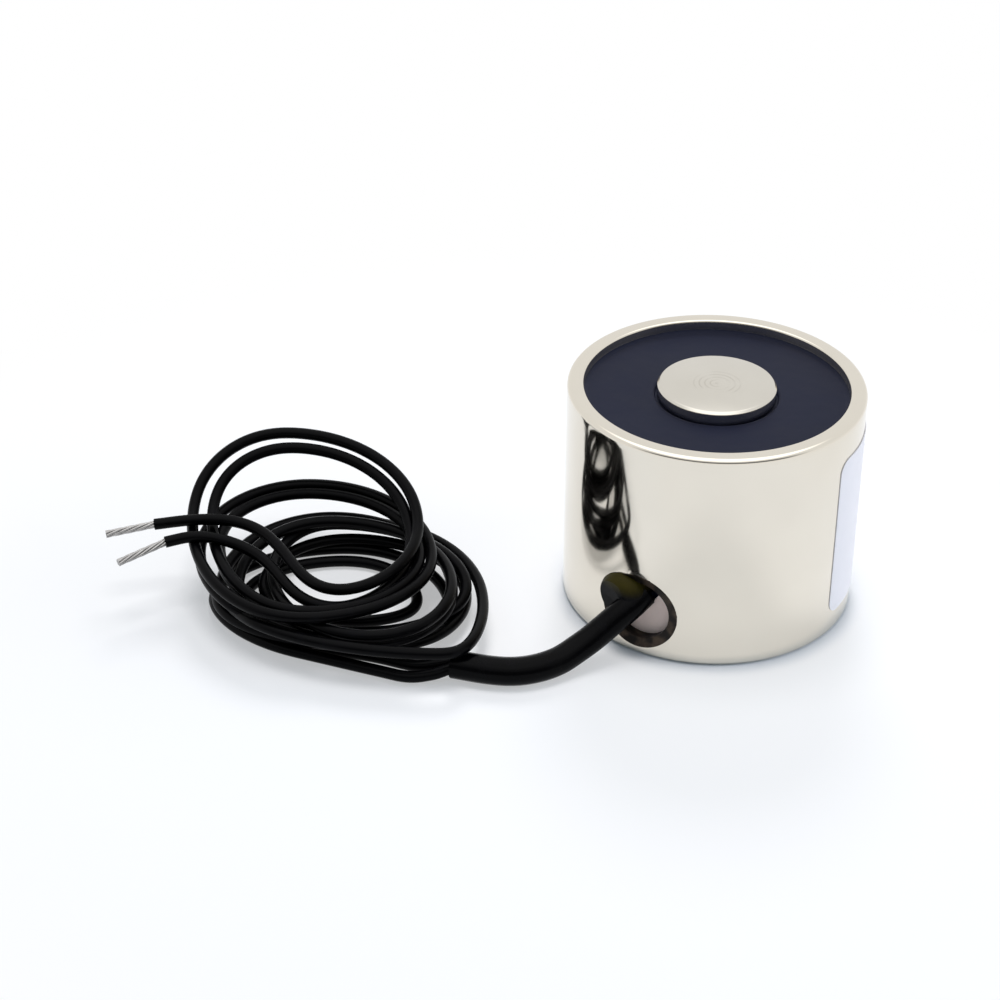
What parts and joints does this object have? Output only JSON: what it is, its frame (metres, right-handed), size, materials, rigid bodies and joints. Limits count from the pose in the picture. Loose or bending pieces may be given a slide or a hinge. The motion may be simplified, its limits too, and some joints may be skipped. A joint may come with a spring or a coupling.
{
  "type": "holding electromagnet",
  "caption": "Round pot holding electromagnet: plated steel cup, central pole core, resin-cast coil, threaded base and flying leads coiled beside it.",
  "frame": {"origin": "centre of the base's underside, on the magnet's axis", "axes": "+Z along the magnet's axis, from the threaded base to the pole face; -Y out of the lead hole"},
  "size_m": [0.0562, 0.045, 0.02],
  "materials": {
    "plated_steel": "bright nickel plating over turned steel",
    "pole_steel": "bright nickel plating over a faced end, with fine turning marks",
    "casting_resin": "semi-gloss black casting resin",
    "lead_insulation": "soft satin black insulation",
    "shrink_sleeve": "satin black shrink tube",
    "tinned_copper": "tinned, twisted strands",
    "spool_nylon": "moulded natural nylon",
    "washer_fibre": "pale pressed fibre",
    "magnet_wire": "enamelled copper",
    "winding_film": "clear yellow film"
  },
  "bodies": {
    "root": {"pot_shell": "plated_steel", "pole_core": "pole_steel", "bobbin": "spool_nylon", "coil_winding": "magnet_wire", "winding_tape": "winding_film", "potting": "casting_resin", "lead_washer": "washer_fibre", "inner_lead_a": "lead_insulation", "inner_lead_b": "lead_insulation", "splice_a": "tinned_copper", "splice_b": "tinned_copper", "splice_sleeve_a": "shrink_sleeve", "splice_sleeve_b": "shrink_sleeve", "lead_sleeve": "shrink_sleeve", "lead_coil": "lead_insulation", "lead_tail_a": "lead_insulation", "lead_tail_b": "lead_insulation", "bare_end_a": "tinned_copper", "bare_end_b": "tinned_copper"}
  },
  "joints": []
}
